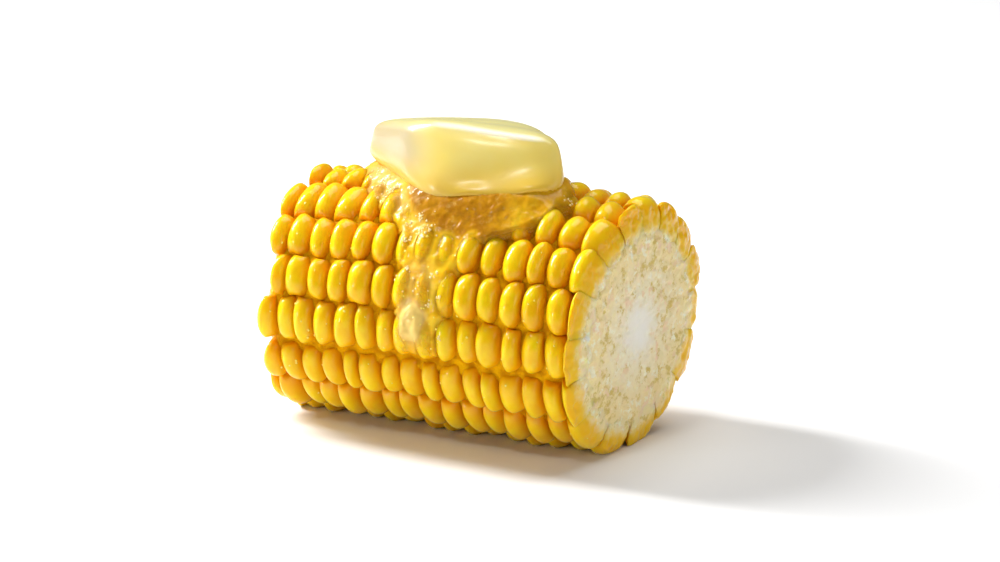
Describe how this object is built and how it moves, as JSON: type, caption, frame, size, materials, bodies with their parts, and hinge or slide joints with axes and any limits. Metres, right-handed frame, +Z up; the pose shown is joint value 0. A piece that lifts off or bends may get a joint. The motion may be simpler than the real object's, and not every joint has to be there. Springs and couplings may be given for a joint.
{
  "type": "corn cob",
  "caption": "Short cut length of cooked corn on the cob lying on its side, with rows of plump kernels round a woody core and a pat of butter melting on top.",
  "frame": {"origin": "bottom centre of the part's box, on the surface that the cob lies on", "axes": "+X along the cob's axis, from the square cut to the slanting cut; -Y is the side the melted butter runs down; +Z up, through the butter pat"},
  "size_m": [0.0706, 0.0502, 0.0589],
  "materials": {
    "kernel": "wet, glossy golden-yellow kernel skin",
    "core": "moist, fibrous cream cob with a white pith",
    "butter": "soft, satin, pale yellow butter",
    "melted_butter": "clear to milky liquid, very glossy"
  },
  "bodies": {
    "root": {"cob_core": "core", "kernel_row_01": "kernel", "kernel_row_02": "kernel", "kernel_row_03": "kernel", "kernel_row_04": "kernel", "kernel_row_05": "kernel", "kernel_row_06": "kernel", "kernel_row_07": "kernel", "kernel_row_08": "kernel", "kernel_row_09": "kernel", "kernel_row_10": "kernel", "kernel_row_11": "kernel", "kernel_row_12": "kernel", "kernel_row_13": "kernel", "kernel_row_14": "kernel", "kernel_row_15": "kernel", "kernel_row_16": "kernel", "butter_pat": "butter", "melted_butter": "melted_butter"}
  },
  "joints": []
}
